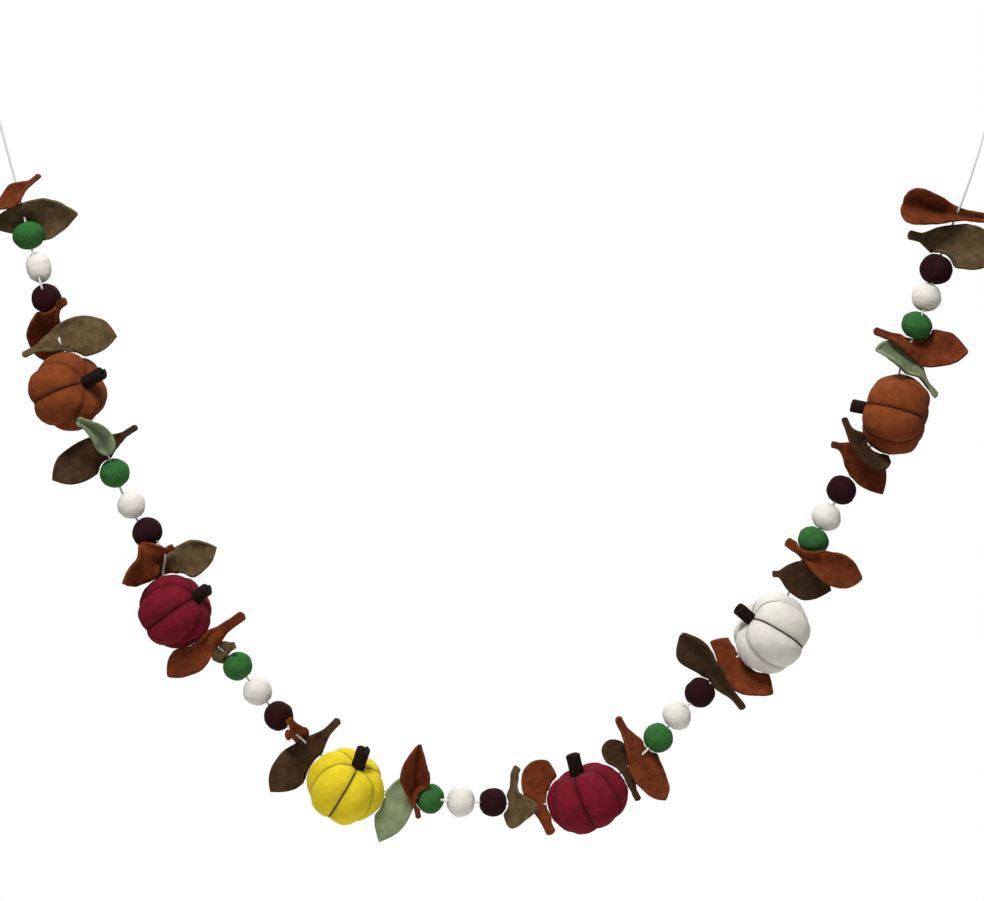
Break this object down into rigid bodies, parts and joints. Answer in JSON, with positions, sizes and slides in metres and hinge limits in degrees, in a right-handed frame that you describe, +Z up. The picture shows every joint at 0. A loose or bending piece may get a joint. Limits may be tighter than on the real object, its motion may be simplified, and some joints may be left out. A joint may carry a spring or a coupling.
{
  "type": "felted wool pumpkin garland",
  "caption": "Hanging garland of felted wool balls, small stuffed pumpkins with rolled stems and cut felt leaves, threaded on a cotton string with a tied loop at each end.",
  "frame": {"origin": "the top of the left hanging loop", "axes": "+X along the span from the left loop to the right loop, +Z up, +Y away from the viewer"},
  "size_m": [0.8178, 0.0675, 0.6132],
  "materials": {
    "green": "matt wet-felted wool",
    "white": "matt wet-felted wool",
    "burgundy": "matt wet-felted wool",
    "rust": "matt felted wool",
    "olive": "matt felted wool",
    "umber": "matt felted wool",
    "sage": "matt felted wool",
    "raspberry": "matt felted wool",
    "yellow": "matt felted wool",
    "cream": "matt felted wool",
    "bark": "matt rolled felt",
    "cotton": "matt twisted cotton"
  },
  "bodies": {
    "root": {"string": "cotton", "ball_01_green": "green", "ball_02_white": "white", "ball_03_burgundy": "burgundy", "ball_04_green": "green", "ball_05_white": "white", "ball_06_burgundy": "burgundy", "ball_07_green": "green", "ball_08_white": "white", "ball_09_burgundy": "burgundy", "ball_10_green": "green", "ball_11_white": "white", "ball_12_burgundy": "burgundy", "ball_13_green": "green", "ball_14_white": "white", "ball_15_burgundy": "burgundy", "ball_16_green": "green", "ball_17_white": "white", "ball_18_burgundy": "burgundy", "ball_19_green": "green", "ball_20_white": "white", "ball_21_burgundy": "burgundy", "pumpkin_1_rust": "rust", "pumpkin_2_raspberry": "raspberry", "pumpkin_3_yellow": "yellow", "pumpkin_4_raspberry": "raspberry", "pumpkin_5_cream": "cream", "pumpkin_6_rust": "rust", "stem_2": "bark", "stem_3": "bark", "stem_4": "bark", "stem_5": "bark", "leaf_01_rust": "rust", "leaf_02_olive": "olive", "leaf_03_rust": "rust", "leaf_04_olive": "olive", "leaf_05_sage": "sage", "leaf_06_umber": "umber", "leaf_07_rust": "rust", "leaf_08_olive": "olive", "leaf_09_rust": "rust", "leaf_10_olive": "olive", "leaf_11_rust": "rust", "leaf_12_umber": "umber", "leaf_13_sage": "sage", "leaf_14_rust": "rust", "leaf_15_olive": "olive", "leaf_16_rust": "rust", "leaf_17_umber": "umber", "leaf_18_rust": "rust", "leaf_19_umber": "umber", "leaf_20_rust": "rust", "leaf_21_umber": "umber", "leaf_22_rust": "rust", "leaf_23_rust": "rust", "leaf_24_umber": "umber", "leaf_25_sage": "sage", "leaf_26_rust": "rust", "leaf_27_rust": "rust", "leaf_28_olive": "olive"}
  },
  "joints": []
}
